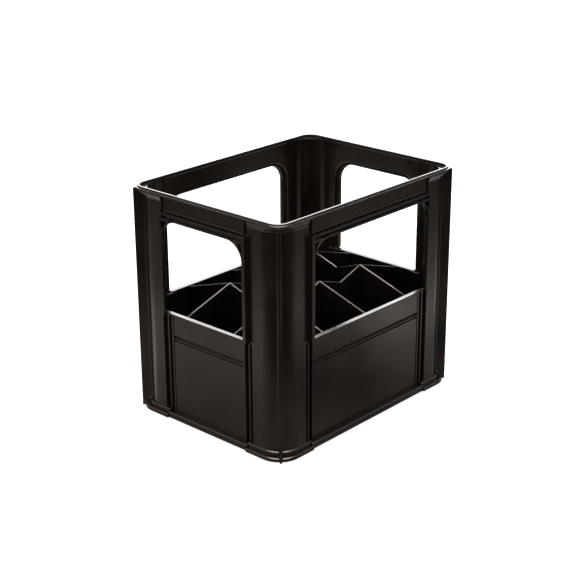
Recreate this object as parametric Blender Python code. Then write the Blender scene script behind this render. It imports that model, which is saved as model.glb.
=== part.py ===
# Open moulded bottle crate for twelve bottles: four corner posts with diagonal fins,
# a stacking rim on grooved rails, a window in each wall and a divider lattice with peaked webs.
# Lengths are metres. The crate stands on z = 0 with its length along X.
# A depth is measured inwards from the crate's outer box, and "along" is the distance from a corner.

import math

import bmesh
import bpy

# Overall box
LENGTH = 0.346
WIDTH = 0.262
HEIGHT = 0.305

# The plastic's thickness, and the fit between neighbouring sections
SKIN = 0.0028
GAP = 0.0003

# Corner posts: a convex shell between two flats, with a return at each edge
POST_EDGE = 0.0530
POST_DEPTH = 0.0068
POST_CREASE = 0.0160
POST_RETURN = 0.0018
RETURN_BEAD = 0.0008

# Diagonal fins on the posts and feet
FIN_THICKNESS = 0.0026
FIN_TIP = 0.0062
FIN_FILLET = 0.0030

# Corner blocks, which carry the posts on up to the rim with a shoulder under it
BLOCK_HEIGHT = 0.0275
BLOCK_DEPTH = 0.0042
SHOULDER_HEIGHT = 0.0090

# Rails between the corner blocks, each with end ribs, a lower flange and a groove round it
RAIL_DEPTH = 0.0066
RAIL_INSIDE = 0.0100
RAIL_START = 0.0624
RAIL_END_RIB = 0.0016
RAIL_END_RIB_PROUD = 0.0004
RAIL_FLANGE = 0.0014
RAIL_FLANGE_PROUD = 0.0008
RAIL_GROOVE = 0.0014
RAIL_GROOVE_DEPTH = 0.0085

# Stacking rim: an outer lip and a raised ridge
LIP_HEIGHT = 0.0018
LIP_DEPTH = 0.0031
RIM_HEIGHT = 0.0044
RIM_RADIUS = 0.0200
RIDGE_DEPTH = 0.0050
RIDGE_WIDTH = 0.0030
RIDGE_SLOPE = 0.0003

# Borders between posts and panels: a rib below the sill, a proud jamb and a strip above it
RIB_START = 0.0585
RIB_WIDTH = 0.0025
RIB_DEPTH = 0.0090
BORDER_DEPTH = 0.0120
BORDER_SKIN = 0.0018
JAMB_START = 0.0571
JAMB_WIDTH = 0.0052
JAMB_DEPTH = 0.0005

# Lower panels with one horizontal rib between two grooves, closed by a sill
PANEL_EDGE = 0.0665
PANEL_DEPTH = 0.0094
PANEL_RIB_HEIGHT = 0.1120
PANEL_RIB = 0.0017
PANEL_RIB_PROUD = 0.0010
PANEL_GROOVE = 0.0023
PANEL_GROOVE_CUT = 0.0014
SILL_TOP = 0.1464
SILL_THICKNESS = 0.0020
SILL_DEPTH = 0.0058
SILL_ROUNDING = 0.0008

# Window heads with round upper corners
WINDOW_DROP = 0.0329
HEAD_THICKNESS = 0.0082
WINDOW_RADIUS = 0.0250
WINDOW_TOE = 0.0008

# Feet: two tiers at each corner and a plain rail between them
FOOT_HEIGHT = 0.0110
FOOT_TIER = 0.0050
FOOT_TIER_SLOPE = 0.0006
FOOT_CREASE = 0.0088
FOOT_UPPER_DEPTH = 0.0046
FOOT_UPPER_CREASE = 0.0133
FOOT_RAIL_HEIGHT = 0.0083
FOOT_RAIL_DEPTH = 0.0021
FOOT_RAIL_ROOF = 0.0025

# Open floor, level with the foot rails
FLOOR_THICKNESS = 0.0040
FLOOR_BAR = 0.0045
FLOOR_HOLES_PER_CELL = 3

# Divider lattice
CELLS_LONG = 4
CELLS_WIDE = 3
END_CELL_CUT_LONG = 0.0032
END_CELL_CUT_WIDE = 0.0046
WEB_THICKNESS = 0.0024
WEB_PEAK = 0.1696
WEB_NOTCH = 0.1562
WEB_WALL_DROP = 0.0014

# Facets in a quarter of a post, in a window corner, in a fin's fillet and up a shoulder
ARC_STEPS = 7
WINDOW_STEPS = 9
FILLET_STEPS = 2
SHOULDER_STEPS = 6
ROUNDING_STEPS = 3

HALF_LENGTH = LENGTH / 2
HALF_WIDTH = WIDTH / 2
PANEL_INSIDE = PANEL_DEPTH + SKIN
BORDER_INSIDE = BORDER_DEPTH + BORDER_SKIN
RIB_END = RIB_START + RIB_WIDTH
JAMB_EDGE = JAMB_START + JAMB_WIDTH
BLOCK_EDGE = JAMB_START - GAP
FOOT_EDGE = RIB_END - GAP
RIM_BOTTOM = HEIGHT - RIM_HEIGHT
RAIL_TOP = RIM_BOTTOM - GAP
BLOCK_BOTTOM = RAIL_TOP - BLOCK_HEIGHT
POST_BOTTOM = FOOT_HEIGHT + GAP
POST_TOP = BLOCK_BOTTOM - GAP
PANEL_BOTTOM = FOOT_RAIL_HEIGHT + GAP
SILL_BOTTOM = SILL_TOP - SILL_THICKNESS
JAMB_BOTTOM = SILL_TOP + GAP
PANEL_TOP = SILL_BOTTOM - GAP
WINDOW_TOP = HEIGHT - WINDOW_DROP
HEAD_TOP = WINDOW_TOP + HEAD_THICKNESS
RAIL_BOTTOM = HEAD_TOP + GAP
FLOOR_TOP = FOOT_RAIL_HEIGHT
FLOOR_BOTTOM = FLOOR_TOP - FLOOR_THICKNESS
WEB_BOTTOM = FLOOR_TOP + GAP
PITCH_LONG = 2 * (HALF_LENGTH - PANEL_INSIDE + END_CELL_CUT_LONG) / CELLS_LONG
PITCH_WIDE = 2 * (HALF_WIDTH - PANEL_INSIDE + END_CELL_CUT_WIDE) / CELLS_WIDE

CORNERS = {
    "left_front": (-1, -1),
    "right_front": (1, -1),
    "right_back": (1, 1),
    "left_back": (-1, 1),
}

# Each wall has its outward direction, its distance from the middle and half its width
WALLS = {
    "front": ((0, -1), HALF_WIDTH, HALF_LENGTH),
    "right": ((1, 0), HALF_LENGTH, HALF_WIDTH),
    "back": ((0, 1), HALF_WIDTH, HALF_LENGTH),
    "left": ((-1, 0), HALF_LENGTH, HALF_WIDTH),
}
SIDES = {"a": -1, "b": 1}


def clear_scene():
    for item in list(bpy.data.objects):
        bpy.data.objects.remove(item, do_unlink=True)


def plastic(name, colour, roughness):
    material = bpy.data.materials.new(name)
    material.use_nodes = True
    shader = material.node_tree.nodes["Principled BSDF"]
    shader.inputs["Base Color"].default_value = (*colour, 1.0)
    shader.inputs["Roughness"].default_value = roughness
    shader.inputs["Metallic"].default_value = 0.0
    return material


def add_object(name, bm, material):
    """Makes one named object of the finished bmesh, with its faces outwards."""
    bmesh.ops.recalc_face_normals(bm, faces=bm.faces)
    mesh = bpy.data.meshes.new(name)
    bm.to_mesh(mesh)
    bm.free()
    mesh.materials.append(material)
    item = bpy.data.objects.new(name, mesh)
    bpy.context.scene.collection.objects.link(item)
    return item


def loft(loops, ring=False):
    """A closed body through loops of equally many points, with capped ends or as a ring."""
    bm = bmesh.new()
    rows = [[bm.verts.new(point) for point in loop] for loop in loops]
    pairs = list(zip(rows, rows[1:]))
    if ring:
        pairs.append((rows[-1], rows[0]))
    else:
        bm.faces.new(rows[0][::-1])
        bm.faces.new(rows[-1])
    for low, high in pairs:
        for i in range(len(low)):
            j = (i + 1) % len(low)
            bm.faces.new((low[i], low[j], high[j], high[i]))
    return bm


def grid_solid(planes, filled, place):
    """A closed body of the boxes between grid planes for which filled(i, j, k) is true."""
    bm = bmesh.new()
    sizes = [len(row) - 1 for row in planes]
    made = {}

    def corner(at):
        if at not in made:
            made[at] = bm.verts.new(place(*(row[n] for row, n in zip(planes, at))))
        return made[at]

    def is_filled(cell):
        return all(0 <= n < size for n, size in zip(cell, sizes)) and filled(*cell)

    cells = [
        (i, j, k)
        for i in range(sizes[0])
        for j in range(sizes[1])
        for k in range(sizes[2])
        if filled(i, j, k)
    ]
    for cell in cells:
        for axis in range(3):
            for side in (0, 1):
                beside = list(cell)
                beside[axis] += 2 * side - 1
                if is_filled(beside):
                    continue
                first, second = [n for n in range(3) if n != axis]
                ring = []
                for step in ((0, 0), (1, 0), (1, 1), (0, 1)):
                    at = list(cell)
                    at[axis] += side
                    at[first] += step[0]
                    at[second] += step[1]
                    ring.append(corner(tuple(at)))
                bm.faces.new(ring)
    bmesh.ops.recalc_face_normals(bm, faces=bm.faces)
    bmesh.ops.dissolve_limit(bm, angle_limit=math.radians(1), verts=bm.verts, edges=bm.edges)
    return bm


def corner_place(signs):
    """Turns depths from the two walls at a corner into crate coordinates."""

    def place(p, q, z):
        return (signs[0] * (HALF_LENGTH - p), signs[1] * (HALF_WIDTH - q), z)

    return place


def wall_place(wall):
    """Turns (distance from the wall's middle, depth, height) into crate coordinates."""
    (nx, ny), reach, _ = WALLS[wall]

    def place(s, depth, z):
        out = reach - depth
        return (nx * out - ny * s, ny * out + nx * s, z)

    return place


def half_arc(depth, crease, stop=0.0):
    """Plan points from a wall's flat round to the diagonal, ending short of it by stop."""
    radius = (crease - depth) / (1 - math.sqrt(0.5))
    centre = depth + radius
    last = math.pi / 4 - math.asin(stop / radius)
    angles = [last * n / ARC_STEPS for n in range(ARC_STEPS + 1)]
    return [(centre - radius * math.cos(a), centre - radius * math.sin(a)) for a in angles]


def mirrored(points):
    """The same points across the corner's diagonal, in reverse order."""
    return [(q, p) for p, q in reversed(points)]


def fin_points(base, tip):
    """One side of a fin from its filleted base on the diagonal out to its tip."""
    half = FIN_THICKNESS / 2
    fillet = min(FIN_FILLET, (base - tip) * math.sqrt(0.5))
    points = []
    for n in range(1, FILLET_STEPS + 1):
        angle = math.pi / 2 * n / FILLET_STEPS
        rise = fillet * (1 - math.cos(angle))
        aside = half + fillet * (1 - math.sin(angle))
        points.append((rise, aside))
    points.append(((base - tip) * math.sqrt(2), half))
    along = math.sqrt(0.5)
    return [(base - (t + w) * along, base - (t - w) * along) for t, w in points]


def finned_path(depth, crease, end, tip):
    """The outside of a corner in plan: flat, arc, fin, arc, flat."""
    arc = half_arc(depth, crease, FIN_THICKNESS / 2 + min(FIN_FILLET, (crease - tip) * math.sqrt(0.5)))
    base = sum(arc[-1]) / 2
    half = [(depth, end)] + arc + fin_points(base, tip)
    return half + mirrored(half)


def inner_path(depth, crease, end, back):
    """The inside of a corner shell in plan, with a return at each end that reaches back."""
    inner_end = end - POST_RETURN
    half = half_arc(depth, crease)[::-1] + [(depth, inner_end), (back, inner_end), (back, end)]
    return mirrored(half) + half[1:]


def concentric_crease(radius, depth):
    """Where an arc round the centre of the corner radius crosses the diagonal at this depth."""
    return radius - (radius - depth) * math.sqrt(0.5)


def smooth(share):
    """Eases a share between 0 and 1, level at both ends."""
    return share * share * (3 - 2 * share)


def corner_post(name, signs, material):
    place = corner_place(signs)
    outside = finned_path(POST_DEPTH, POST_CREASE, POST_EDGE, FIN_TIP)
    depth = POST_DEPTH + SKIN
    bead = depth + RETURN_BEAD
    loops = []
    for z, back in (
        (POST_BOTTOM, BORDER_INSIDE),
        (PANEL_TOP, BORDER_INSIDE),
        (SILL_TOP, bead),
        (POST_TOP, bead),
    ):
        outline = outside + inner_path(depth, POST_CREASE + SKIN, POST_EDGE, back)
        loops.append([place(p, q, z) for p, q in outline])
    return add_object(name, loft(loops), material)


def block_levels():
    """Heights of the block's sections, each with the depth of its flats and of its crease."""
    top_crease = concentric_crease(LIP_DEPTH + RIM_RADIUS, BLOCK_DEPTH)
    shoulder = RAIL_TOP - SHOULDER_HEIGHT
    levels = [(BLOCK_BOTTOM, POST_DEPTH, POST_CREASE)]
    for n in range(SHOULDER_STEPS + 1):
        swell = smooth(n / SHOULDER_STEPS)
        z = shoulder + SHOULDER_HEIGHT * n / SHOULDER_STEPS
        flat = POST_DEPTH + (BLOCK_DEPTH - POST_DEPTH) * swell
        crease = POST_CREASE + (top_crease - POST_CREASE) * swell
        levels.append((z, flat, crease))
    return levels


def corner_block(name, signs, material):
    place = corner_place(signs)
    loops = []
    for z, flat, crease in block_levels():
        outline = finned_path(flat, crease, BLOCK_EDGE, FIN_TIP)
        depth = flat + SKIN
        back = POST_DEPTH + SKIN + RETURN_BEAD
        outline += inner_path(depth, crease + SKIN, BLOCK_EDGE, back)
        loops.append([place(p, q, z) for p, q in outline])
    return add_object(name, loft(loops), material)


def corner_foot(name, signs, material):
    place = corner_place(signs)
    inside = [(FOOT_EDGE, BORDER_INSIDE), (BORDER_INSIDE, BORDER_INSIDE), (BORDER_INSIDE, FOOT_EDGE)]
    levels = (
        (0.0, 0.0, FOOT_CREASE),
        (FOOT_TIER - FOOT_TIER_SLOPE, 0.0, FOOT_CREASE),
        (FOOT_TIER, FOOT_UPPER_DEPTH, FOOT_UPPER_CREASE),
        (FOOT_HEIGHT, FOOT_UPPER_DEPTH, FOOT_UPPER_CREASE),
    )
    loops = []
    for z, flat, crease in levels:
        outline = finned_path(flat, crease, FOOT_EDGE, FIN_TIP) + inside
        loops.append([place(p, q, z) for p, q in outline])
    return add_object(name, loft(loops), material)


def rim_section():
    """The rim's section as (depth, height)."""
    ridge_bottom = RIM_BOTTOM + LIP_HEIGHT
    ridge_inside = RIDGE_DEPTH + RIDGE_WIDTH
    return (
        (LIP_DEPTH, RIM_BOTTOM),
        (LIP_DEPTH, ridge_bottom),
        (RIDGE_DEPTH, ridge_bottom + RIDGE_SLOPE),
        (RIDGE_DEPTH + RIDGE_SLOPE, HEIGHT),
        (ridge_inside, HEIGHT),
        (ridge_inside, RIM_BOTTOM),
    )


def stacking_rim(name, material):
    """A lip and a ridge all round, with corners about one centre at each corner."""
    centre = LIP_DEPTH + RIM_RADIUS
    steps = 2 * ARC_STEPS
    loops = []
    for signs in CORNERS.values():
        place = corner_place(signs)
        stations = []
        for n in range(steps + 1):
            angle = math.pi / 2 * n / steps
            station = []
            for depth, z in rim_section():
                p = centre - (centre - depth) * math.cos(angle)
                q = centre - (centre - depth) * math.sin(angle)
                station.append(place(p, q, z))
            stations.append(station)
        loops += stations if signs[0] == signs[1] else stations[::-1]
    return add_object(name, loft(loops, ring=True), material)


def rail(wall, material):
    half = WALLS[wall][2]
    start = half - JAMB_START
    body = half - RAIL_START
    rib_end = body - RAIL_END_RIB
    flange_top = RAIL_BOTTOM + RAIL_GROOVE + RAIL_FLANGE
    planes = (
        (-start, -body, -rib_end, rib_end, body, start),
        (
            RAIL_DEPTH - RAIL_FLANGE_PROUD,
            RAIL_DEPTH - RAIL_END_RIB_PROUD,
            RAIL_DEPTH,
            RAIL_GROOVE_DEPTH,
            RAIL_INSIDE,
        ),
        (RAIL_BOTTOM, RAIL_BOTTOM + RAIL_GROOVE, flange_top, RAIL_TOP),
    )

    def filled(i, j, k):
        if j == 3:
            return True
        if i in (0, 4) or k == 0:
            return False
        if j == 2:
            return True
        if j == 1:
            return k == 1 or i in (1, 3)
        return k == 1

    return add_object(f"rail_{wall}", grid_solid(planes, filled, wall_place(wall)), material)


def border_rib(wall, side, material):
    """Groove, rib and groove beside a panel; above the sill the jamb and a strip beside it."""
    half = WALLS[wall][2]
    panel_side = PANEL_EDGE - GAP
    post_side = POST_EDGE + GAP
    along = (panel_side, JAMB_EDGE, RIB_END, RIB_START, JAMB_START, post_side)
    depths = (JAMB_DEPTH, POST_DEPTH, RIB_DEPTH, RAIL_INSIDE, BORDER_DEPTH, BORDER_INSIDE)
    heights = (PANEL_BOTTOM, POST_BOTTOM, PANEL_TOP, JAMB_BOTTOM, POST_TOP, HEAD_TOP)
    bars = (
        (RIB_END, panel_side, BORDER_DEPTH, BORDER_INSIDE, PANEL_BOTTOM, PANEL_TOP),
        (RIB_START, RIB_END, RIB_DEPTH, BORDER_INSIDE, POST_BOTTOM, PANEL_TOP),
        (post_side, RIB_START, BORDER_DEPTH, BORDER_INSIDE, POST_BOTTOM, PANEL_TOP),
        (RIB_END, JAMB_EDGE, JAMB_DEPTH, RAIL_INSIDE, JAMB_BOTTOM, HEAD_TOP),
        (JAMB_START, RIB_END, JAMB_DEPTH, RAIL_INSIDE, PANEL_TOP, HEAD_TOP),
        (post_side, JAMB_START, POST_DEPTH, RAIL_INSIDE, PANEL_TOP, POST_TOP),
    )

    def filled(i, j, k):
        return any(
            near <= along[i + 1] < far and front <= depths[j] < back and low <= heights[k] < high
            for near, far, front, back, low, high in bars
        )

    planes = (tuple(SIDES[side] * (half - place) for place in along), depths, heights)
    name = f"border_rib_{wall}_{side}"
    return add_object(name, grid_solid(planes, filled, wall_place(wall)), material)


def window_head(wall, material):
    """The bar over a window, with its two round corners, as deep as the jambs."""
    place = wall_place(wall)
    opening = WALLS[wall][2] - JAMB_EDGE
    width = opening - GAP
    first = math.acos(1 - (GAP + WINDOW_TOE) / WINDOW_RADIUS)
    angles = [first + (math.pi / 2 - first) * n / WINDOW_STEPS for n in range(WINDOW_STEPS + 1)]
    middle = WINDOW_TOP - WINDOW_RADIUS
    corner = opening - WINDOW_RADIUS
    arc = [
        (corner + WINDOW_RADIUS * math.cos(a), middle + WINDOW_RADIUS * math.sin(a)) for a in angles
    ]
    half = [(width, HEAD_TOP), (width, arc[0][1])] + arc
    outline = half + [(-s, z) for s, z in reversed(half)]
    loops = [[place(s, depth, z) for s, z in outline] for depth in (JAMB_DEPTH, RAIL_INSIDE)]
    return add_object(f"window_head_{wall}", loft(loops), material)


def panel(wall, material):
    width = WALLS[wall][2] - PANEL_EDGE
    rib_half = PANEL_RIB / 2
    planes = (
        (-width, -width + BORDER_SKIN, width - BORDER_SKIN, width),
        (
            PANEL_DEPTH - PANEL_RIB_PROUD,
            PANEL_DEPTH,
            PANEL_DEPTH + PANEL_GROOVE_CUT,
            PANEL_INSIDE,
            BORDER_INSIDE,
        ),
        (
            PANEL_BOTTOM,
            PANEL_RIB_HEIGHT - rib_half - PANEL_GROOVE,
            PANEL_RIB_HEIGHT - rib_half,
            PANEL_RIB_HEIGHT + rib_half,
            PANEL_RIB_HEIGHT + rib_half + PANEL_GROOVE,
            PANEL_TOP,
        ),
    )

    def filled(i, j, k):
        if j == 3:
            return i != 1
        if j == 2:
            return True
        if j == 1:
            return k not in (1, 3)
        return k == 2

    return add_object(f"panel_{wall}", grid_solid(planes, filled, wall_place(wall)), material)


def wall_bar(name, wall, section, half_length, material):
    """A bar of one (depth, height) section along the middle of a wall."""
    place = wall_place(wall)
    loops = [[place(s, depth, z) for depth, z in section] for s in (-half_length, half_length)]
    return add_object(name, loft(loops), material)


def sill(wall, material):
    front = SILL_DEPTH + SILL_ROUNDING
    top = SILL_TOP - SILL_ROUNDING
    section = [(PANEL_INSIDE, SILL_BOTTOM), (PANEL_INSIDE, SILL_TOP)]
    for n in range(ROUNDING_STEPS + 1):
        angle = math.pi / 2 * n / ROUNDING_STEPS
        depth = front - SILL_ROUNDING * math.sin(angle)
        section.append((depth, top + SILL_ROUNDING * math.cos(angle)))
    section.append((SILL_DEPTH, SILL_BOTTOM))
    half_length = WALLS[wall][2] - RIB_END - GAP
    return wall_bar(f"sill_{wall}", wall, section, half_length, material)


def foot_rail(wall, material):
    roof = FOOT_RAIL_HEIGHT - FOOT_RAIL_ROOF
    inside = FOOT_RAIL_DEPTH + SKIN
    section = [
        (FOOT_RAIL_DEPTH, 0.0),
        (FOOT_RAIL_DEPTH, FOOT_RAIL_HEIGHT),
        (BORDER_INSIDE, FOOT_RAIL_HEIGHT),
        (BORDER_INSIDE, roof),
        (inside, roof),
        (inside, 0.0),
    ]
    half_length = WALLS[wall][2] - FOOT_EDGE - GAP
    return wall_bar(f"foot_rail_{wall}", wall, section, half_length, material)


def web_lines(pitch, cells):
    return [(n - cells / 2) * pitch for n in range(1, cells)]


def bar_planes(reach, pitch, cells):
    """Grid planes across the floor: a bar at each edge, under each web and across each cell."""
    lines = [-reach] + web_lines(pitch, cells) + [reach]
    centres = []
    for low, high in zip(lines, lines[1:]):
        step = (high - low) / FLOOR_HOLES_PER_CELL
        centres += [low + step * n for n in range(FLOOR_HOLES_PER_CELL)]
    centres.append(reach)
    half = FLOOR_BAR / 2
    planes = [-reach, -reach + FLOOR_BAR]
    for centre in centres[1:-1]:
        planes += [centre - half, centre + half]
    return planes + [reach - FLOOR_BAR, reach]


def floor_grid(name, material):
    planes = (
        bar_planes(HALF_LENGTH - BORDER_INSIDE - GAP, PITCH_LONG, CELLS_LONG),
        bar_planes(HALF_WIDTH - BORDER_INSIDE - GAP, PITCH_WIDE, CELLS_WIDE),
        (FLOOR_BOTTOM, FLOOR_TOP),
    )

    def filled(i, j, k):
        return i % 2 == 0 or j % 2 == 0

    def place(x, y, z):
        return (x, y, z)

    return add_object(name, grid_solid(planes, filled, place), material)


def web_top(lines, low, high, low_is_wall, high_is_wall):
    """The upper edge of a web: peaks where webs cross, notches between, slopes down to walls."""
    wall_height = SILL_TOP - WEB_WALL_DROP
    points = [(low, wall_height if low_is_wall else WEB_PEAK)]
    inner = [line for line in lines if low < line < high]
    if not low_is_wall and not high_is_wall:
        points.append(((low + high) / 2, WEB_NOTCH))
    for n, line in enumerate(inner):
        if n:
            points.append(((inner[n - 1] + line) / 2, WEB_NOTCH))
        points.append((line, WEB_PEAK))
    points.append((high, wall_height if high_is_wall else WEB_PEAK))
    return points


def web(name, top, place, material):
    """An upright web of even thickness below its upper edge."""
    outline = [(top[0][0], WEB_BOTTOM)] + top + [(top[-1][0], WEB_BOTTOM)]
    half = WEB_THICKNESS / 2
    loops = [[place(s, side, z) for s, z in outline] for side in (-half, half)]
    return add_object(name, loft(loops), material)


def divider_lattice(material):
    long_lines = web_lines(PITCH_LONG, CELLS_LONG)
    wide_lines = web_lines(PITCH_WIDE, CELLS_WIDE)
    reach = HALF_LENGTH - PANEL_INSIDE - GAP
    for n, y in enumerate(wide_lines, 1):
        top = web_top(long_lines, -reach, reach, True, True)
        web(f"long_web_{n}", top, lambda s, side, z, y=y: (s, y + side, z), material)
    wall = HALF_WIDTH - PANEL_INSIDE - GAP
    clear = WEB_THICKNESS / 2 + GAP
    stops = [-wall] + wide_lines + [wall]
    for column, x in enumerate(long_lines, 1):
        for row, (low, high) in enumerate(zip(stops, stops[1:]), 1):
            from_wall = low == -wall
            to_wall = high == wall
            start = low if from_wall else low + clear
            stop = high if to_wall else high - clear
            top = web_top([], start, stop, from_wall, to_wall)
            name = f"cross_web_{column}_{row}"
            web(name, top, lambda s, side, z, x=x: (x + side, s, z), material)


def build():
    clear_scene()
    black = plastic("crate_plastic", (0.012, 0.010, 0.010), 0.32)
    for corner, signs in CORNERS.items():
        corner_post(f"corner_post_{corner}", signs, black)
        corner_block(f"corner_block_{corner}", signs, black)
        corner_foot(f"corner_foot_{corner}", signs, black)
    for wall in WALLS:
        rail(wall, black)
        window_head(wall, black)
        sill(wall, black)
        panel(wall, black)
        foot_rail(wall, black)
        for side in SIDES:
            border_rib(wall, side, black)
    stacking_rim("stacking_rim", black)
    floor_grid("floor_grid", black)
    divider_lattice(black)


build()
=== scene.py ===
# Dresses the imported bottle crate: one glossy near-black moulding on a pale floor.
# Lengths are metres. A depth is measured inwards from the crate's outer box, and places along a
# wall are measured from its middle, or from a corner where a size says so.

import math

import bmesh
import bpy
from mathutils import Matrix, Vector


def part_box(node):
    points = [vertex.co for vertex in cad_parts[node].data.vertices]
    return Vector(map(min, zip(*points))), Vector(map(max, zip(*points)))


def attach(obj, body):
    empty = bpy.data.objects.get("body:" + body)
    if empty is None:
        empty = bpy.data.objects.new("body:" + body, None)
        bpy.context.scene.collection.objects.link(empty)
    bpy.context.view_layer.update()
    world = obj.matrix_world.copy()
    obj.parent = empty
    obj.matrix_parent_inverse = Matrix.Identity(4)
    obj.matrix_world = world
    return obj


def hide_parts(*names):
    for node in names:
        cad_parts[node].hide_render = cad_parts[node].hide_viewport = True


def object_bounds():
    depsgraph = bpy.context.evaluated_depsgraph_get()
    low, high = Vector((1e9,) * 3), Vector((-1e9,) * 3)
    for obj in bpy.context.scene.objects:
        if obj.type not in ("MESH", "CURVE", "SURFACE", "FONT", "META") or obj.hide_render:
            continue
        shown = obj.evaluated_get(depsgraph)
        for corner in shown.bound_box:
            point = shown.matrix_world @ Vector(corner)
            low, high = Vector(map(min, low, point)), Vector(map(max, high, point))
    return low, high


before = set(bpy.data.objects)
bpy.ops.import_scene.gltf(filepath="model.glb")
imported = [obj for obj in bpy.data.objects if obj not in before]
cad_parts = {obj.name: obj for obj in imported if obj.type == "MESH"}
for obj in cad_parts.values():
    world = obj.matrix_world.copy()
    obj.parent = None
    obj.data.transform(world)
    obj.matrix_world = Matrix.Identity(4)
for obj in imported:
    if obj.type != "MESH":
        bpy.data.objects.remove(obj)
cad_box = [list(corner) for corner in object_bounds()]

MM = 0.001

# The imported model's sizes
LENGTH, WIDTH, HEIGHT = (high - low for low, high in zip(*cad_box))
HALF_LENGTH, HALF_WIDTH = LENGTH / 2, WIDTH / 2
SKIN = 2.8 * MM
POST_EDGE, POST_DEPTH, POST_CREASE, POST_RETURN = 53 * MM, 6.8 * MM, 16 * MM, 1.8 * MM
FIN_THICKNESS, FIN_TIP, FIN_FILLET = 2.6 * MM, 6.2 * MM, 3 * MM
BLOCK_DEPTH, BLOCK_EDGE, SHOULDER_HEIGHT = 4.2 * MM, 57 * MM, 9 * MM
RAIL_DEPTH, RAIL_INSIDE, RAIL_START = 6.6 * MM, 10 * MM, 62.4 * MM
RAIL_GROOVE_DEPTH = 8.5 * MM
LIP_HEIGHT, LIP_DEPTH, RIM_HEIGHT, RIM_RADIUS = 1.8 * MM, 3.1 * MM, 4.4 * MM, 20 * MM
RIDGE_DEPTH, RIDGE_WIDTH, RIDGE_SLOPE = 5 * MM, 3 * MM, 0.3 * MM
RIB_START, RIB_WIDTH, RIB_DEPTH = 58.5 * MM, 2.5 * MM, 9 * MM
BORDER_DEPTH, BORDER_SKIN = 12 * MM, 1.8 * MM
JAMB_START, JAMB_WIDTH, JAMB_DEPTH = 57.1 * MM, 5.2 * MM, 0.5 * MM
PANEL_EDGE, PANEL_DEPTH, PANEL_RIB_HEIGHT = 66.5 * MM, 9.4 * MM, 112 * MM
SILL_TOP, SILL_THICKNESS, SILL_DEPTH = 146.4 * MM, 2 * MM, 5.8 * MM
HEAD_THICKNESS, WINDOW_RADIUS = 8.2 * MM, 25 * MM
FOOT_HEIGHT, FOOT_TIER, FOOT_CREASE = 11 * MM, 5 * MM, 8.8 * MM
FOOT_UPPER_DEPTH, FOOT_UPPER_CREASE = 4.6 * MM, 13.3 * MM
FOOT_RAIL_HEIGHT, FOOT_RAIL_DEPTH, FOOT_RAIL_ROOF = 8.3 * MM, 2.1 * MM, 2.5 * MM
FLOOR_THICKNESS, FLOOR_BAR, HOLES_PER_CELL = 4 * MM, 4.5 * MM, 3
CELLS_LONG, CELLS_WIDE, PITCH_LONG, PITCH_WIDE = 4, 3, 82 * MM, 82.27 * MM
WEB_THICKNESS, WEB_PEAK, WEB_NOTCH, WEB_WALL_DROP = 2.4 * MM, 169.6 * MM, 156.2 * MM, 1.4 * MM

RIB_END = RIB_START + RIB_WIDTH
JAMB_EDGE = JAMB_START + JAMB_WIDTH
PANEL_INSIDE = PANEL_DEPTH + SKIN
BORDER_INSIDE = BORDER_DEPTH + BORDER_SKIN
RIM_BOTTOM = HEIGHT - RIM_HEIGHT
BLOCK_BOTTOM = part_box("corner_block_left_front")[0].z
WINDOW_TOP = HEIGHT - 32.9 * MM
HEAD_TOP = WINDOW_TOP + HEAD_THICKNESS

# Finer forms that only this dressed model has
FOOT_ROUNDING, POST_BEAD = 2.1 * MM, 0.8 * MM
RAIL_GROOVE, RAIL_FLANGE, RAIL_FLANGE_RISE = 0.6 * MM, 1.4 * MM, 0.8 * MM
RAIL_END_BAND, RAIL_END_RISE = 1.6 * MM, 0.4 * MM
GRIP_ROUNDING, GRIP_LAND, FRAME_BAND, FRAME_RECESS = 7 * MM, 0.7 * MM, 2.4 * MM, 1.2 * MM
LEG_FRONT, LEG_BACK, POCKET_RIB_REACH = 4 * MM, 8 * MM, 14 * MM
POCKET_RIB_BELOW, POCKET_RIB_ABOVE, POCKET_RIB_BACK = 1.4 * MM, 2.2 * MM, 5.9 * MM
POCKET_JOIN, POCKET_NUDGE = 1 * MM, 0.04 * MM
PANEL_RIB_HALF, PANEL_RIB_RISE, PANEL_GROOVE, PANEL_GROOVE_DEPTH = (
    0.85 * MM, 1 * MM, 3 * MM, 2.3 * MM)
PANEL_BEAD, PANEL_BEAD_RISE, PANEL_BEAD_ROOT, PANEL_BACK = 2.4 * MM, 0.9 * MM, 1 * MM, 1.6 * MM
GROOVE_CAP = 2 * MM

# How far neighbouring pieces of the one moulding run into each other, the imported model's gap
# between them, and the offsets that keep overlapping faces out of one plane
JOIN, GAP = 0.6 * MM, 0.3 * MM
OFFSET, FINE_OFFSET = 0.1 * MM, 0.05 * MM

# The plates behind a window's pockets: how far outside the opening, front depth, back depth
POCKET_PLATES = ((2 * MM, 5.5 * MM, 7.4 * MM), (GRIP_ROUNDING, 7 * MM, RAIL_INSIDE - OFFSET))

# The photograph's camera: angles in degrees, target and distance in crate heights, focal length
PHOTO_AZIMUTH, PHOTO_ELEVATION, PHOTO_ROLL = -47.5454, 21.1905, -0.3097
PHOTO_TARGET, PHOTO_DISTANCE = (-0.0440036, 0.0077886, 0.5), 5.88432
FOCAL_PIXELS, PICTURE_PIXELS, SENSOR, PHOTO_SCALE = 1367.20, 576, 36.0, 0.305

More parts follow.
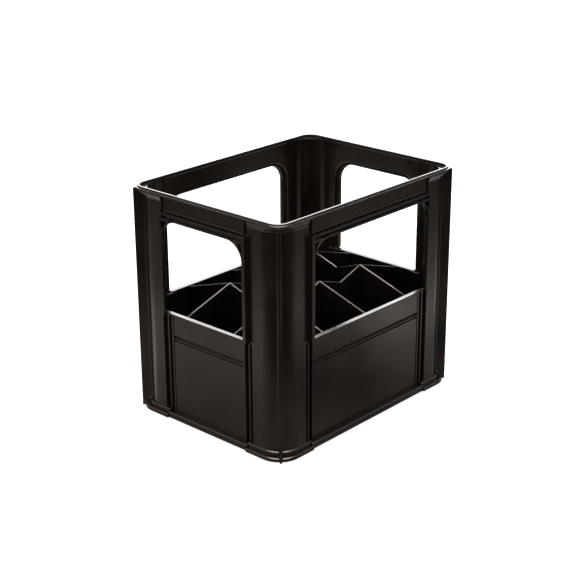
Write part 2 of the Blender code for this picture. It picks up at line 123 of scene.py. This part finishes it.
# The floor's size, its place under the crate and its own glow for the rays that see the
# background; the painted light on it that only reflections show, as levels at metres to the
# camera's right and towards it
FLOOR_REACH, FLOOR_DROP, FLOOR_GLOW = 6.0, 0.4 * MM, 0.72
PAINTED_LIGHT_ACROSS = ((-1.3, 0.15), (-0.9, 0.26), (-0.65, 0.38), (-0.47, 1.0), (-0.36, 0.9),
                (-0.22, 0.7), (-0.1, 0.62), (0.08, 0.55), (0.2, 0.24), (0.32, 0.42), (0.46, 1.0),
                (0.68, 0.48), (0.9, 0.25), (1.3, 0.15))
PAINTED_LIGHT_FORWARD = ((-0.5, 0.07), (-0.36, 0.2), (-0.22, 0.66), (-0.1, 0.56), (-0.02, 1.0),
                 (0.02, 1.0), (0.06, 0.45), (0.13, 0.45), (0.21, 0.66), (0.3, 0.56), (0.5, 0.08),
                 (0.8, 0.06))

# Lamps: azimuth and elevation in degrees, distance, size and radiance. The card over the crate
# shows in reflections only.
LAMPS = {
    "back_softbox": (132.5, 32, 2.6, (2.4, 1.5), 6.0),
    "left_softbox": (-120, 25, 2.4, (1.4, 1.6), 1.2),
    "top_card": (PHOTO_AZIMUTH, 78, 2.0, (2.2, 2.2), 20.0),
}
LAMP_TARGET = (0, 0, 0.15)

CORNERS = {
    "left_front": (-1, -1),
    "right_front": (1, -1),
    "right_back": (1, 1),
    "left_back": (-1, 1),
}
WALLS = {
    "front": ((0, -1), HALF_WIDTH, HALF_LENGTH),
    "right": ((1, 0), HALF_LENGTH, HALF_WIDTH),
    "back": ((0, 1), HALF_WIDTH, HALF_LENGTH),
    "left": ((-1, 0), HALF_LENGTH, HALF_WIDTH),
}


# Mesh helpers


def corner_place(signs):
    """Places points given by their depths from a corner's two outer faces and their height."""

    def place(p, q, z):
        return (signs[0] * (HALF_LENGTH - p), signs[1] * (HALF_WIDTH - q), z)

    return place


def wall_place(wall):
    """Places points given along a wall from its middle, by their depth and their height."""
    (nx, ny), reach, _ = WALLS[wall]

    def place(s, depth, z):
        out = reach - depth
        return (nx * out - ny * s, ny * out + nx * s, z)

    return place


def loft(bm, loops, ring=False):
    """Adds a closed body through loops of equally many points to bm."""
    rows = [[bm.verts.new(point) for point in loop] for loop in loops]
    pairs = list(zip(rows, rows[1:]))
    if ring:
        pairs.append((rows[-1], rows[0]))
    else:
        bm.faces.new(rows[0][::-1])
        bm.faces.new(rows[-1])
    for low, high in pairs:
        for i in range(len(low)):
            j = (i + 1) % len(low)
            bm.faces.new((low[i], low[j], high[j], high[i]))


def block(bm, place, along, depths, heights):
    """Adds a plain bar between two places along, two depths and two heights."""
    loops = []
    for s in along:
        corners = ((depths[0], heights[0]), (depths[0], heights[1]))
        corners += ((depths[1], heights[1]), (depths[1], heights[0]))
        loops.append([place(s, depth, z) for depth, z in corners])
    loft(bm, loops)


def piece(name, bm, material, replaced, bevel=0.5 * MM, angle=34, segments=2):
    """Makes a shown piece of the bmesh, with rounded edges, that stands for CAD nodes."""
    bmesh.ops.recalc_face_normals(bm, faces=bm.faces)
    for face in bm.faces:
        face.smooth = True
    mesh = bpy.data.meshes.new(name)
    bm.to_mesh(mesh)
    bm.free()
    mesh.materials.append(material)
    item = bpy.data.objects.new(name, mesh)
    bpy.context.scene.collection.objects.link(item)
    edges = item.modifiers.new("edges", "BEVEL")
    edges.width = bevel
    edges.segments = segments
    edges.limit_method = "ANGLE"
    edges.angle_limit = math.radians(angle)
    edges.use_clamp_overlap = True
    shading = item.modifiers.new("shading", "WEIGHTED_NORMAL")
    shading.keep_sharp = True
    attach(item, "root")
    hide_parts(*replaced)
    return item


def smooth(share):
    return share * share * (3 - 2 * share)


def rounding(radius, steps):
    """A quarter circle from an upright face to a level one: how far inwards and how far down."""
    angles = [math.pi / 2 * n / steps for n in range(steps + 1)]
    return [(radius * (1 - math.cos(angle)), radius * (1 - math.sin(angle))) for angle in angles]


def half_arc(depth, crease, steps, stop=0.0):
    """A corner's curve in plan from the end of its flat face to stop before the crease."""
    radius = (crease - depth) / (1 - math.sqrt(0.5))
    centre = depth + radius
    last = math.pi / 4 - math.asin(stop / radius)
    angles = [last * n / steps for n in range(steps + 1)]
    return [(centre - radius * math.cos(a), centre - radius * math.sin(a)) for a in angles]


def mirrored(points):
    return [(q, p) for p, q in reversed(points)]


def fin_points(base, tip, steps=4):
    """Half of a fin in plan, from its fillet out along the corner's diagonal to its tip."""
    half = FIN_THICKNESS / 2
    fillet = min(FIN_FILLET, (base - tip) * math.sqrt(0.5))
    points = [(out, half + aside) for out, aside in rounding(fillet, steps)[1:]]
    points.append(((base - tip) * math.sqrt(2), half))
    along = math.sqrt(0.5)
    return [(base - (t + w) * along, base - (t - w) * along) for t, w in points]


def finned_path(depth, crease, end, tip, steps=14):
    """A corner's outer face in plan: flat, curve and fin, and the same mirrored."""
    stop = FIN_THICKNESS / 2 + min(FIN_FILLET, (crease - tip) * math.sqrt(0.5))
    arc = half_arc(depth, crease, steps, stop)
    half = [(depth, end)] + arc + fin_points(sum(arc[-1]) / 2, tip)
    return half + mirrored(half)


def inner_path(depth, crease, end, back, steps=14):
    """A corner's inner face in plan, with a return of the given depth at each end."""
    inner_end = end - POST_RETURN
    half = half_arc(depth, crease, steps)[::-1]
    half += [(depth, inner_end), (back, inner_end), (back, end)]
    return mirrored(half) + half[1:]


# Pieces of the crate


def corner_levels():
    """Up a corner: height, depth of the flats, crease, reach along and depth of the return."""
    centre = LIP_DEPTH + RIM_RADIUS
    top_crease = centre - (centre - BLOCK_DEPTH) * math.sqrt(0.5)
    foot_edge = RIB_END - GAP
    shoulder = RIM_BOTTOM - SHOULDER_HEIGHT
    bead = POST_DEPTH + SKIN + POST_BEAD

    def tier(bottom, top, depth, crease):
        places = [(bottom, 0.0)]
        places += [(top - OFFSET - down, inwards) for inwards, down in rounding(FOOT_ROUNDING, 5)]
        return [(z, depth + inwards, crease + inwards, foot_edge, BORDER_INSIDE)
                for z, inwards in places]

    levels = tier(0.0, FOOT_TIER, 0.0, FOOT_CREASE)
    levels += tier(FOOT_TIER, FOOT_HEIGHT, FOOT_UPPER_DEPTH, FOOT_UPPER_CREASE)
    levels += [
        (FOOT_HEIGHT, POST_DEPTH, POST_CREASE, POST_EDGE, BORDER_INSIDE),
        (SILL_TOP - SILL_THICKNESS, POST_DEPTH, POST_CREASE, POST_EDGE, BORDER_INSIDE),
        (SILL_TOP, POST_DEPTH, POST_CREASE, POST_EDGE, bead),
        (BLOCK_BOTTOM - GAP, POST_DEPTH, POST_CREASE, POST_EDGE, bead),
        (BLOCK_BOTTOM, POST_DEPTH, POST_CREASE, BLOCK_EDGE, bead),
    ]
    steps = 10
    for n in range(steps + 1):
        swell = smooth(n / steps)
        flat = POST_DEPTH + (BLOCK_DEPTH - POST_DEPTH) * swell
        crease = POST_CREASE + (top_crease - POST_CREASE) * swell
        levels.append((shoulder + SHOULDER_HEIGHT * n / steps, flat, crease, BLOCK_EDGE, bead))
    return levels + [(RIM_BOTTOM + JOIN, BLOCK_DEPTH, top_crease, BLOCK_EDGE, bead)]


def corner(name, signs, material):
    place = corner_place(signs)
    loops = []
    for z, flat, crease, edge, back in corner_levels():
        outline = finned_path(flat, crease, edge, FIN_TIP)
        if z > BLOCK_BOTTOM:
            flat, crease = max(flat, POST_DEPTH), max(crease, POST_CREASE)
        outline += inner_path(flat + SKIN, crease + SKIN, edge, back)
        loops.append([place(p, q, z) for p, q in outline])
    bm = bmesh.new()
    loft(bm, loops)
    nodes = [f"corner_{part}_{name}" for part in ("post", "block", "foot")]
    return piece(f"corner_{name}", bm, material, nodes, bevel=0.45 * MM, angle=38)


def rim_section():
    ridge_bottom = RIM_BOTTOM + LIP_HEIGHT
    ridge_inside = RIDGE_DEPTH + RIDGE_WIDTH
    return (
        (LIP_DEPTH, RIM_BOTTOM),
        (LIP_DEPTH, ridge_bottom),
        (RIDGE_DEPTH, ridge_bottom + RIDGE_SLOPE),
        (RIDGE_DEPTH + RIDGE_SLOPE, HEIGHT),
        (ridge_inside, HEIGHT),
        (ridge_inside, RIM_BOTTOM),
    )


def stacking_rim(material):
    centre = LIP_DEPTH + RIM_RADIUS
    steps = 24
    loops = []
    for signs in CORNERS.values():
        place = corner_place(signs)
        stations = []
        for n in range(steps + 1):
            angle = math.pi / 2 * n / steps
            stations.append([place(centre - (centre - depth) * math.cos(angle),
                                   centre - (centre - depth) * math.sin(angle), z)
                             for depth, z in rim_section()])
        loops += stations if signs[0] == signs[1] else stations[::-1]
    bm = bmesh.new()
    loft(bm, loops, ring=True)
    return piece("rim", bm, material, ["stacking_rim"], bevel=0.45 * MM, angle=30, segments=3)


def top_rail(wall, material):
    place = wall_place(wall)
    half = WALLS[wall][2]
    body = half - RAIL_START
    bottom = HEAD_TOP + GAP
    groove_top = bottom + RAIL_GROOVE
    top = RIM_BOTTOM + JOIN
    bm = bmesh.new()
    block(bm, place, (-half + BLOCK_EDGE - JOIN, half - BLOCK_EDGE + JOIN),
          (RAIL_GROOVE_DEPTH, RAIL_INSIDE), (bottom - JOIN, top))
    section = [
        (RAIL_GROOVE_DEPTH + JOIN, groove_top),
        (RAIL_DEPTH - RAIL_FLANGE_RISE, groove_top),
        (RAIL_DEPTH - RAIL_FLANGE_RISE, groove_top + RAIL_FLANGE),
        (RAIL_DEPTH, groove_top + RAIL_FLANGE),
        (RAIL_DEPTH, top - OFFSET),
        (RAIL_GROOVE_DEPTH + JOIN, top - OFFSET),
    ]
    loft(bm, [[place(s, depth, z) for depth, z in section] for s in (-body, body)])
    for end in (-1, 1):
        along = sorted((end * (body + FINE_OFFSET), end * (body - RAIL_END_BAND)))
        block(bm, place, along, (RAIL_DEPTH - RAIL_END_RISE, RAIL_GROOVE_DEPTH + 4 * OFFSET),
              (groove_top + OFFSET, top - 2 * OFFSET))
    return piece(f"top_rail_{wall}", bm, material, [f"rail_{wall}"], bevel=0.35 * MM)


def window_path(opening, foot, steps=18):
    """A window's edge from its left foot over the top to its right foot, with outward angles."""
    path = [(opening, foot, 0.0)]
    for n, (inwards, down) in enumerate(rounding(WINDOW_RADIUS, steps)):
        path.append((opening - inwards, WINDOW_TOP - down, math.pi / 2 * n / steps))
    return path + [(-s, z, math.pi - angle) for s, z, angle in reversed(path)]


def window_frame(wall, material):
    """Jambs and arch of a window with a round grip inside, its square frame and the spandrels."""
    place = wall_place(wall)
    half = WALLS[wall][2]
    opening = half - JAMB_EDGE
    path = window_path(opening, SILL_TOP - GAP)
    frame_outside = half - JAMB_START
    arch_bottom = WINDOW_TOP - WINDOW_RADIUS
    jamb_reach = JAMB_EDGE - POST_EDGE

    # A section's points are measured outwards from the opening's edge and in depth
    rounded = [(0.0, JAMB_DEPTH)]
    rounded += [(out, RAIL_INSIDE - down) for out, down in rounding(GRIP_ROUNDING, 8)]
    arch_section = [(FRAME_BAND, JAMB_DEPTH)] + rounded + [
        (GRIP_ROUNDING + GRIP_LAND, RAIL_INSIDE),
        (GRIP_ROUNDING + GRIP_LAND, RAIL_GROOVE_DEPTH),
        (FRAME_BAND, RAIL_GROOVE_DEPTH - FRAME_RECESS),
    ]
    jamb_section = [(JAMB_WIDTH, JAMB_DEPTH)] + rounded + [
        (jamb_reach, RAIL_INSIDE),
        (jamb_reach, RAIL_GROOVE_DEPTH),
        (JAMB_WIDTH, RAIL_GROOVE_DEPTH),
    ]
    loops = []
    for s, z, angle in path:
        section = jamb_section if z <= arch_bottom else arch_section
        loops.append([place(s + out * math.cos(angle), depth, z + out * math.sin(angle))
                      for out, depth in section])
    bm = bmesh.new()
    loft(bm, loops)

    block(bm, place, (OFFSET - frame_outside, frame_outside - OFFSET),
          (JAMB_DEPTH + OFFSET, RAIL_INSIDE), (HEAD_TOP - FRAME_BAND, HEAD_TOP))
    arch = path[1:len(path) // 2]
    side = opening + JAMB_WIDTH + JOIN
    for end in (-1, 1):
        leg = sorted((end * (frame_outside - FINE_OFFSET), end * (opening + OFFSET)))
        block(bm, place, leg, (JAMB_DEPTH + FINE_OFFSET, LEG_FRONT),
              (arch_bottom - POCKET_JOIN, HEAD_TOP - FINE_OFFSET))
        leg = sorted((end * (frame_outside - OFFSET), end * (opening + FRAME_BAND)))
        block(bm, place, leg, (LEG_FRONT - 5 * OFFSET, LEG_BACK),
              (arch_bottom - POCKET_JOIN, HEAD_TOP - OFFSET))
        rib = sorted((end * (opening - POCKET_RIB_REACH), end * (opening + POCKET_JOIN)))
        block(bm, place, rib, (JAMB_DEPTH + OFFSET + FINE_OFFSET, POCKET_RIB_BACK),
              (WINDOW_TOP - POCKET_RIB_BELOW, WINDOW_TOP + POCKET_RIB_ABOVE))
        # Two plates close the pocket between the round corner and the square frame; those of the
        # window's two halves overlap a little, at slightly different depths
        nudge = POCKET_NUDGE if end > 0 else 0.0
        for out, front, back in POCKET_PLATES:
            outline = [(side, arch_bottom), (side, HEAD_TOP - JOIN), (-OFFSET, HEAD_TOP - JOIN),
                       (-OFFSET, WINDOW_TOP + out)]
            outline += [(s + out * math.cos(angle), z + out * math.sin(angle))
                        for s, z, angle in reversed(arch)]
            loft(bm, [[place(end * s, depth + nudge, z) for s, z in outline]
                      for depth in (front, back)])
    return piece(f"window_frame_{wall}", bm, material, [f"window_head_{wall}"], bevel=0.35 * MM)


def border(wall, side, end, material):
    """Groove, rib and groove beside a panel, their cap, and the strip and jamb's foot above."""
    place = wall_place(wall)
    half = WALLS[wall][2]
    bm = bmesh.new()

    def bar(near, far, depths, heights):
        block(bm, place, sorted((end * (half - near), end * (half - far))), depths, heights)

    low = FOOT_RAIL_HEIGHT
    high = SILL_TOP - SILL_THICKNESS
    bar(POST_EDGE - JOIN, RIB_START + JOIN, (BORDER_DEPTH, BORDER_INSIDE),
        (FOOT_HEIGHT - JOIN, high + JOIN))
    bar(RIB_START, RIB_END, (RIB_DEPTH, BORDER_INSIDE), (low - JOIN, high + JOIN))
    bar(RIB_END - JOIN, PANEL_EDGE + JOIN, (BORDER_DEPTH, BORDER_INSIDE),
        (low - JOIN, high + JOIN))
    bar(POST_EDGE - JOIN, RIB_END + JOIN, (RIB_DEPTH, BORDER_INSIDE - 2 * OFFSET),
        (high - GROOVE_CAP, high + JOIN - OFFSET))
    bar(JAMB_START, RIB_END, (JAMB_DEPTH, RAIL_INSIDE), (high, SILL_TOP + JOIN))
    bar(POST_EDGE - JOIN, JAMB_START + JOIN, (POST_DEPTH, RAIL_INSIDE - JOIN),
        (high, BLOCK_BOTTOM + JOIN))
    return piece(f"border_{wall}_{side}", bm, material, [f"border_rib_{wall}_{side}"],
                 bevel=0.4 * MM)


def panel(wall, material):
    place = wall_place(wall)
    width = WALLS[wall][2] - PANEL_EDGE
    bottom, top = FOOT_RAIL_HEIGHT - JOIN, SILL_TOP - SILL_THICKNESS + JOIN
    back, groove = BORDER_INSIDE - PANEL_BACK, PANEL_DEPTH + PANEL_GROOVE_DEPTH
    rib = PANEL_DEPTH - PANEL_RIB_RISE
    rib_bottom, rib_top = PANEL_RIB_HEIGHT - PANEL_RIB_HALF, PANEL_RIB_HEIGHT + PANEL_RIB_HALF
    section = [
        (back, bottom),
        (PANEL_DEPTH, bottom),
        (PANEL_DEPTH, rib_bottom - PANEL_GROOVE),
        (groove, rib_bottom - PANEL_GROOVE),
        (groove, rib_bottom),
        (rib, rib_bottom),
        (rib, rib_top),
        (groove, rib_top),
        (groove, rib_top + PANEL_GROOVE),
        (PANEL_DEPTH, rib_top + PANEL_GROOVE),
        (PANEL_DEPTH, top),
        (back, top),
    ]
    bm = bmesh.new()
    loft(bm, [[place(s, depth, z) for depth, z in section] for s in (-width, width)])
    for end in (-1, 1):
        flange = sorted((end * width, end * (width - BORDER_SKIN)))
        block(bm, place, flange, (PANEL_INSIDE - JOIN, BORDER_INSIDE), (bottom, top))
        bead = sorted((end * (width + OFFSET), end * (width - PANEL_BEAD)))
        block(bm, place, bead, (PANEL_DEPTH - PANEL_BEAD_RISE, PANEL_DEPTH + PANEL_BEAD_ROOT),
              (bottom, top))
    return piece(f"wall_panel_{wall}", bm, material, [f"panel_{wall}"], bevel=0.4 * MM)


def sill(wall, material):
    place = wall_place(wall)
    half_length = WALLS[wall][2] - RIB_END + JOIN
    section = [
        (PANEL_INSIDE + JOIN, SILL_TOP - SILL_THICKNESS),
        (PANEL_INSIDE + JOIN, SILL_TOP),
        (SILL_DEPTH, SILL_TOP),
        (SILL_DEPTH, SILL_TOP - SILL_THICKNESS),
    ]
    bm = bmesh.new()
    loft(bm, [[place(s, depth, z) for depth, z in section] for s in (-half_length, half_length)])
    return piece(f"window_sill_{wall}", bm, material, [f"sill_{wall}"], bevel=0.7 * MM, segments=3)


def foot_rail(wall, material):
    place = wall_place(wall)
    half_length = WALLS[wall][2] - RIB_END + JOIN
    roof = FOOT_RAIL_HEIGHT - FOOT_RAIL_ROOF
    inside = FOOT_RAIL_DEPTH + SKIN
    section = [(FOOT_RAIL_DEPTH, 0.0)]
    section += [(FOOT_RAIL_DEPTH + inwards, FOOT_RAIL_HEIGHT - down)
                for inwards, down in rounding(FOOT_ROUNDING, 6)]
    section += [
        (BORDER_INSIDE + JOIN, FOOT_RAIL_HEIGHT),
        (BORDER_INSIDE + JOIN, roof),
        (inside, roof),
        (inside, 0.0),
    ]
    bm = bmesh.new()
    loft(bm, [[place(s, depth, z) for depth, z in section] for s in (-half_length, half_length)])
    return piece(f"base_rail_{wall}", bm, material, [f"foot_rail_{wall}"], bevel=0.6 * MM)


def web_lines(pitch, cells):
    return [(n - cells / 2) * pitch for n in range(1, cells)]


def floor_bars(material):
    """Bars under and between the cells, crossing each other."""
    reach_x = HALF_LENGTH - BORDER_INSIDE + JOIN
    reach_y = HALF_WIDTH - BORDER_INSIDE + JOIN
    top = FOOT_RAIL_HEIGHT
    bm = bmesh.new()

    def centres(reach, pitch, cells):
        lines = [-reach] + web_lines(pitch, cells) + [reach]
        found = []
        for low, high in zip(lines, lines[1:]):
            step = (high - low) / HOLES_PER_CELL
            found += [low + step * n for n in range(HOLES_PER_CELL)]
        return [-reach + FLOOR_BAR / 2] + found[1:] + [reach - FLOOR_BAR / 2]

    def along_x(s, depth, z):
        return (s, depth, z)

    def along_y(s, depth, z):
        return (depth, s, z)

    half = FLOOR_BAR / 2
    for y in centres(reach_y, PITCH_WIDE, CELLS_WIDE):
        block(bm, along_x, (-reach_x, reach_x), (y - half, y + half), (top - FLOOR_THICKNESS, top))
    for x in centres(reach_x, PITCH_LONG, CELLS_LONG):
        block(bm, along_y, (-reach_y, reach_y), (x - half, x + half),
              (top - FLOOR_THICKNESS + OFFSET, top - OFFSET))
    return piece("floor_bars", bm, material, ["floor_grid"], bevel=0.4 * MM)


def web_outline(lines, reach):
    """The outline of a web: peaks where webs cross, notches between, slopes to the walls."""
    wall_height = SILL_TOP - WEB_WALL_DROP
    points = [(-reach, FOOT_RAIL_HEIGHT - JOIN), (-reach, wall_height)]
    for n, line in enumerate(lines):
        if n:
            points.append(((lines[n - 1] + line) / 2, WEB_NOTCH))
        points.append((line, WEB_PEAK))
    return points + [(reach, wall_height), (reach, FOOT_RAIL_HEIGHT - JOIN)]


def divider(name, lines, reach, place, nodes, material):
    half = WEB_THICKNESS / 2
    outline = web_outline(lines, reach)
    bm = bmesh.new()
    loft(bm, [[place(s, side, z) for s, z in outline] for side in (-half, half)])
    return piece(name, bm, material, nodes, bevel=0.45 * MM, angle=20)


def dividers(material):
    long_lines = web_lines(PITCH_LONG, CELLS_LONG)
    wide_lines = web_lines(PITCH_WIDE, CELLS_WIDE)
    for n, y in enumerate(wide_lines, 1):
        divider(f"divider_long_{n}", long_lines, HALF_LENGTH - PANEL_INSIDE + JOIN,
                lambda s, side, z, y=y: (s, y + side, z), [f"long_web_{n}"], material)
    for n, x in enumerate(long_lines, 1):
        divider(f"divider_cross_{n}", wide_lines, HALF_WIDTH - PANEL_INSIDE + JOIN,
                lambda s, side, z, x=x: (x + side, s, z),
                [f"cross_web_{n}_{row}" for row in (1, 2, 3)], material)


# Materials


def fresh_tree(owner):
    owner.use_nodes = True
    owner.node_tree.nodes.clear()
    return owner.node_tree


def node(tree, kind, **values):
    """Adds a node; values are its inputs where it has inputs of these names, else settings."""
    made = tree.nodes.new(kind)
    for key, value in values.items():
        if key in made.inputs.keys():
            made.inputs[key].default_value = value
        else:
            setattr(made, key, value)
    return made


def combine(tree, operation, *values):
    """The result of a math node on sockets and plain numbers."""
    made = node(tree, "ShaderNodeMath", operation=operation)
    for socket, value in zip(made.inputs, values):
        if isinstance(value, float):
            socket.default_value = value
        else:
            tree.links.new(value, socket)
    return made.outputs["Value"]


def remap(tree, source, low, high, new_low=0.0, new_high=1.0):
    """Source with low to high spread to new_low to new_high, and held beyond."""
    made = node(tree, "ShaderNodeMapRange")
    limits = {"From Min": low, "From Max": high, "To Min": new_low, "To Max": new_high}
    for key, value in limits.items():
        made.inputs[key].default_value = value
    tree.links.new(source, made.inputs["Value"])
    return made.outputs["Result"]


def ramp(tree, source, stops):
    """A colour ramp over source through (position, colour) pairs."""
    made = node(tree, "ShaderNodeValToRGB")
    elements = made.color_ramp.elements
    while len(elements) < len(stops):
        elements.new(0.5)
    for element, (position, colour) in zip(elements, stops):
        element.position = position
        element.color = (*colour, 1)
    tree.links.new(source, made.inputs["Fac"])
    return made.outputs["Color"]


def mix_shaders(tree, share, first, second):
    mixed = node(tree, "ShaderNodeMixShader")
    for socket, source in zip(mixed.inputs, (share, first, second)):
        tree.links.new(source, socket)
    return mixed.outputs["Shader"]


def moulded_plastic():
    """Near-black polyolefin: satin gloss, fine moulding grain, slight sink and worn scratches."""
    material = bpy.data.materials.new("crate_plastic")
    tree = fresh_tree(material)
    link = tree.links.new
    out = node(tree, "ShaderNodeOutputMaterial")
    shader = node(tree, "ShaderNodeBsdfPrincipled", Metallic=0.0, IOR=1.5)
    shader.inputs["Specular IOR Level"].default_value = 0.38
    shader.inputs["Specular Tint"].default_value = (1.0, 0.82, 0.68, 1)
    link(shader.outputs["BSDF"], out.inputs["Surface"])
    place = node(tree, "ShaderNodeTexCoord").outputs["Object"]

    def noise(scale, detail, roughness, vector=place):
        texture = node(tree, "ShaderNodeTexNoise", Scale=scale, Detail=detail, Roughness=roughness)
        link(vector, texture.inputs["Vector"])
        return texture.outputs["Fac"]

    # Colour and gloss drift a little in wide clouds
    cloud = noise(22.0, 4.0, 0.55)
    tint = ramp(tree, cloud, ((0.3, (0.0088, 0.0066, 0.0056)), (0.75, (0.0155, 0.0112, 0.0088))))
    gloss = remap(tree, cloud, 0.3, 0.7, 0.16, 0.26)

    # Fine scratches, only where patches of wear are
    stretch = node(tree, "ShaderNodeMapping")
    stretch.inputs["Rotation"].default_value = (0.35, 0.2, 0.15)
    stretch.inputs["Scale"].default_value = (25.0, 420.0, 330.0)
    link(place, stretch.inputs["Vector"])
    scratches = remap(tree, noise(1.0, 3.0, 0.6, stretch.outputs["Vector"]), 0.66, 0.74)
    patches = remap(tree, noise(60.0, 6.0, 0.7), 0.55, 0.72)
    worn = combine(tree, "MULTIPLY", scratches, patches)

    colour = node(tree, "ShaderNodeMix", data_type="RGBA")
    link(worn, colour.inputs["Factor"])
    link(tint, colour.inputs[6])
    colour.inputs[7].default_value = (0.045, 0.04, 0.038, 1)
    link(colour.outputs[2], shader.inputs["Base Color"])
    link(combine(tree, "MULTIPLY_ADD", worn, 0.2, gloss), shader.inputs["Roughness"])

    sink = node(tree, "ShaderNodeBump", Strength=0.35, Distance=0.0012)
    link(noise(30.0, 1.0, 0.4), sink.inputs["Height"])
    grain = node(tree, "ShaderNodeBump", Strength=0.12, Distance=0.0001)
    link(noise(1500.0, 2.0, 0.5), grain.inputs["Height"])
    link(sink.outputs["Normal"], grain.inputs["Normal"])
    link(grain.outputs["Normal"], shader.inputs["Normal"])
    return material


def backdrop_rays(tree):
    """The light path, and 1 for the rays that see the white background."""
    rays = node(tree, "ShaderNodeLightPath")
    seen = combine(tree, "MAXIMUM", rays.outputs["Is Camera Ray"], rays.outputs["Is Glossy Ray"])
    return rays, combine(tree, "MAXIMUM", seen, rays.outputs["Is Transmission Ray"])


def painted_table_light(tree):
    """Painted light and shade on the table, seen only in reflections: lit from two sides, falling
    off all round.
    """
    place = node(tree, "ShaderNodeTexCoord").outputs["Object"]
    azimuth = math.radians(PHOTO_AZIMUTH)
    across = (math.cos(azimuth), math.sin(azimuth), 0)
    forward = (math.sin(azimuth), -math.cos(azimuth), 0)
    levels = []
    for way, reach, steps in ((across, 1.4, PAINTED_LIGHT_ACROSS), (forward, 1.0, PAINTED_LIGHT_FORWARD)):
        distance = node(tree, "ShaderNodeVectorMath", operation="DOT_PRODUCT")
        distance.inputs[1].default_value = way
        tree.links.new(place, distance.inputs[0])
        share = remap(tree, distance.outputs["Value"], -reach, reach)
        stops = [((at + reach) / (2 * reach), (level, level, level)) for at, level in steps]
        levels.append(ramp(tree, share, stops))
    return combine(tree, "MULTIPLY", *levels)


def backdrop_white():
    """A pale floor that photographs white round the object and keeps its soft shadow; reflections
    show painted light and shade on it.
    """
    material = bpy.data.materials.new("pale_floor")
    tree = fresh_tree(material)
    link = tree.links.new
    out = node(tree, "ShaderNodeOutputMaterial")
    matt = node(tree, "ShaderNodeBsdfDiffuse", Color=(0.85, 0.85, 0.85, 1))
    painted_black = node(tree, "ShaderNodeBsdfDiffuse", Color=(0, 0, 0, 1))
    glow = node(tree, "ShaderNodeEmission", Color=(1, 1, 1, 1))
    rays, seen = backdrop_rays(tree)
    link(combine(tree, "MULTIPLY", seen, FLOOR_GLOW), glow.inputs["Strength"])
    lit = node(tree, "ShaderNodeAddShader")
    link(matt.outputs["BSDF"], lit.inputs[0])
    link(glow.outputs["Emission"], lit.inputs[1])
    # Painted shade for glossy rays: outside the painted pools of light the floor turns partly
    # black
    painted_table_shade = combine(tree, "SUBTRACT", 1.0, painted_table_light(tree))
    painted_shade_in_reflections = combine(tree, "MULTIPLY", rays.outputs["Is Glossy Ray"], painted_table_shade)
    mixed = mix_shaders(tree, painted_shade_in_reflections, lit.outputs["Shader"], painted_black.outputs["BSDF"])
    link(mixed, out.inputs["Surface"])
    return material


# Camera, floor and lights


def direction(azimuth, elevation):
    """The unit vector towards an azimuth, from the front to the right, and an elevation."""
    a, e = math.radians(azimuth), math.radians(elevation)
    return Vector((math.sin(a) * math.cos(e), -math.cos(a) * math.cos(e), math.sin(e)))


def photo_camera():
    """The photograph's viewpoint: a pinhole fitted to the crate's edges in it."""
    roll = math.radians(PHOTO_ROLL)
    back = direction(PHOTO_AZIMUTH, PHOTO_ELEVATION)
    right = (-back).cross(Vector((0, 0, 1))).normalized()
    up = right.cross(-back)
    rolled_right = math.cos(roll) * right + math.sin(roll) * up
    rolled_up = math.cos(roll) * up - math.sin(roll) * right
    data = bpy.data.cameras.new("photo_camera")
    data.sensor_width = SENSOR
    data.lens = FOCAL_PIXELS / PICTURE_PIXELS * SENSOR
    camera = bpy.data.objects.new("photo_camera", data)
    bpy.context.scene.collection.objects.link(camera)
    turn = Matrix((rolled_right, rolled_up, back)).transposed().to_4x4()
    spot = (Vector(PHOTO_TARGET) + back * PHOTO_DISTANCE) * PHOTO_SCALE
    camera.matrix_world = Matrix.Translation(spot) @ turn
    bpy.context.scene.camera = camera


def pale_floor():
    bm = bmesh.new()
    bmesh.ops.create_grid(bm, x_segments=1, y_segments=1, size=FLOOR_REACH)
    mesh = bpy.data.meshes.new("pale_floor")
    bm.to_mesh(mesh)
    bm.free()
    mesh.materials.append(backdrop_white())
    floor = bpy.data.objects.new("pale_floor", mesh)
    floor.location = (0, 0, -FLOOR_DROP)
    bpy.context.scene.collection.objects.link(floor)


def softbox(name, azimuth, elevation, distance, size, radiance):
    """A rectangular area light of the given radiance that faces the crate's middle."""
    way = direction(azimuth, elevation)
    data = bpy.data.lights.new(name, "AREA")
    data.shape = "RECTANGLE"
    data.size, data.size_y = size
    data.energy = radiance * math.pi * size[0] * size[1]
    lamp = bpy.data.objects.new(name, data)
    lamp.location = Vector(LAMP_TARGET) + way * distance
    lamp.rotation_mode = "QUATERNION"
    lamp.rotation_quaternion = way.to_track_quat("Z", "Y")
    bpy.context.scene.collection.objects.link(lamp)
    lamp.visible_camera = False
    return lamp


def studio_world():
    """Plain soft light for the object, and white for the rays that see the background."""
    world = bpy.data.worlds.new("studio")
    bpy.context.scene.world = world
    tree = fresh_tree(world)
    out = node(tree, "ShaderNodeOutputWorld")
    plain, white = (node(tree, "ShaderNodeBackground", Color=(1, 1, 1, 1), Strength=strength)
                    for strength in (0.45, 1.0))
    _, seen = backdrop_rays(tree)
    picked = mix_shaders(tree, seen, plain.outputs["Background"], white.outputs["Background"])
    tree.links.new(picked, out.inputs["Surface"])


plastic = moulded_plastic()
for corner_name, corner_signs in CORNERS.items():
    corner(corner_name, corner_signs, plastic)
stacking_rim(plastic)
for wall_name in WALLS:
    top_rail(wall_name, plastic)
    window_frame(wall_name, plastic)
    border(wall_name, "a", -1, plastic)
    border(wall_name, "b", 1, plastic)
    panel(wall_name, plastic)
    sill(wall_name, plastic)
    foot_rail(wall_name, plastic)
floor_bars(plastic)
dividers(plastic)

photo_camera()
pale_floor()
studio_world()
for lamp_name, values in LAMPS.items():
    softbox(lamp_name, *values).visible_diffuse = lamp_name != "top_card"
bpy.context.scene.view_settings.view_transform = "Standard"

bpy.context.view_layer.update()
